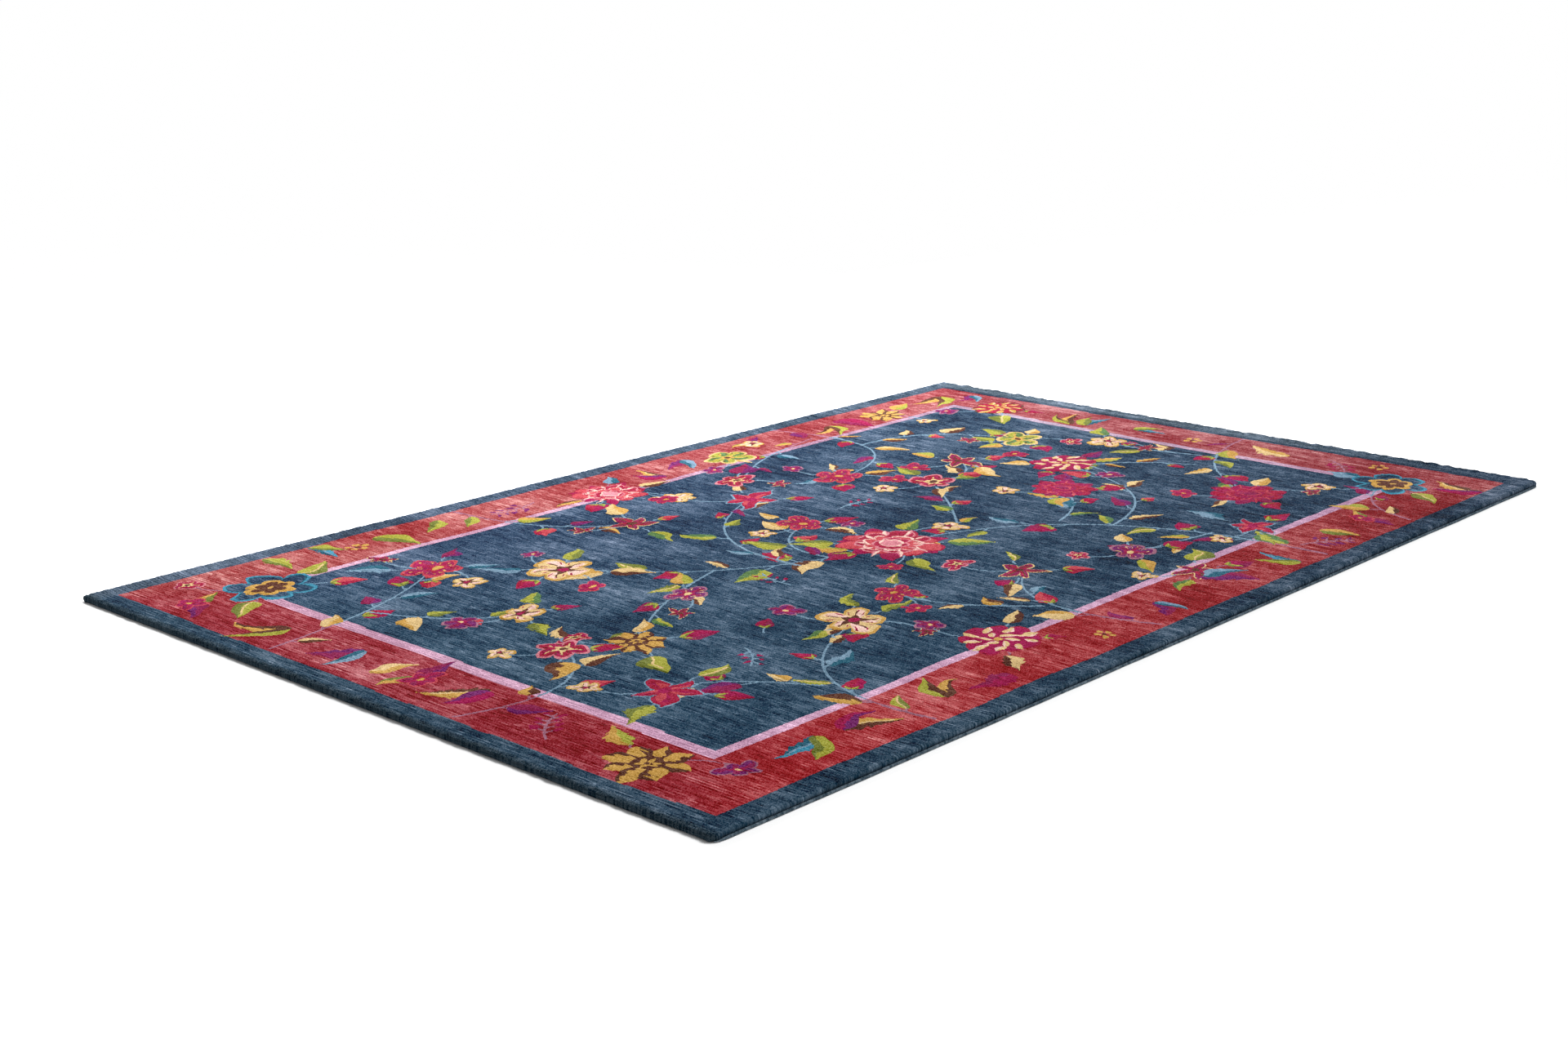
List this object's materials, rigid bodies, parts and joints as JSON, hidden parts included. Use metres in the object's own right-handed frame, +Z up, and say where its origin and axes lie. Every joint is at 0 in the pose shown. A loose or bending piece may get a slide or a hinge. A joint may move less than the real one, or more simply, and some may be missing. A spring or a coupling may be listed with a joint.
{
  "type": "nepalese rug",
  "caption": "Flat rectangular hand-knotted wool rug with a blue field of flowering branches, a red flowered border and a blue outer band, laid on a floor.",
  "frame": {"origin": "on the floor, under the middle of the rug", "axes": "+X along the long side, +Y along the short side, +Z up out of the pile"},
  "size_m": [3.02, 1.98, 0.014],
  "materials": {
    "wool_pile": "soft cut wool pile, in rows, with a slight sheen"
  },
  "bodies": {
    "root": {"rug": "wool_pile"}
  },
  "joints": []
}
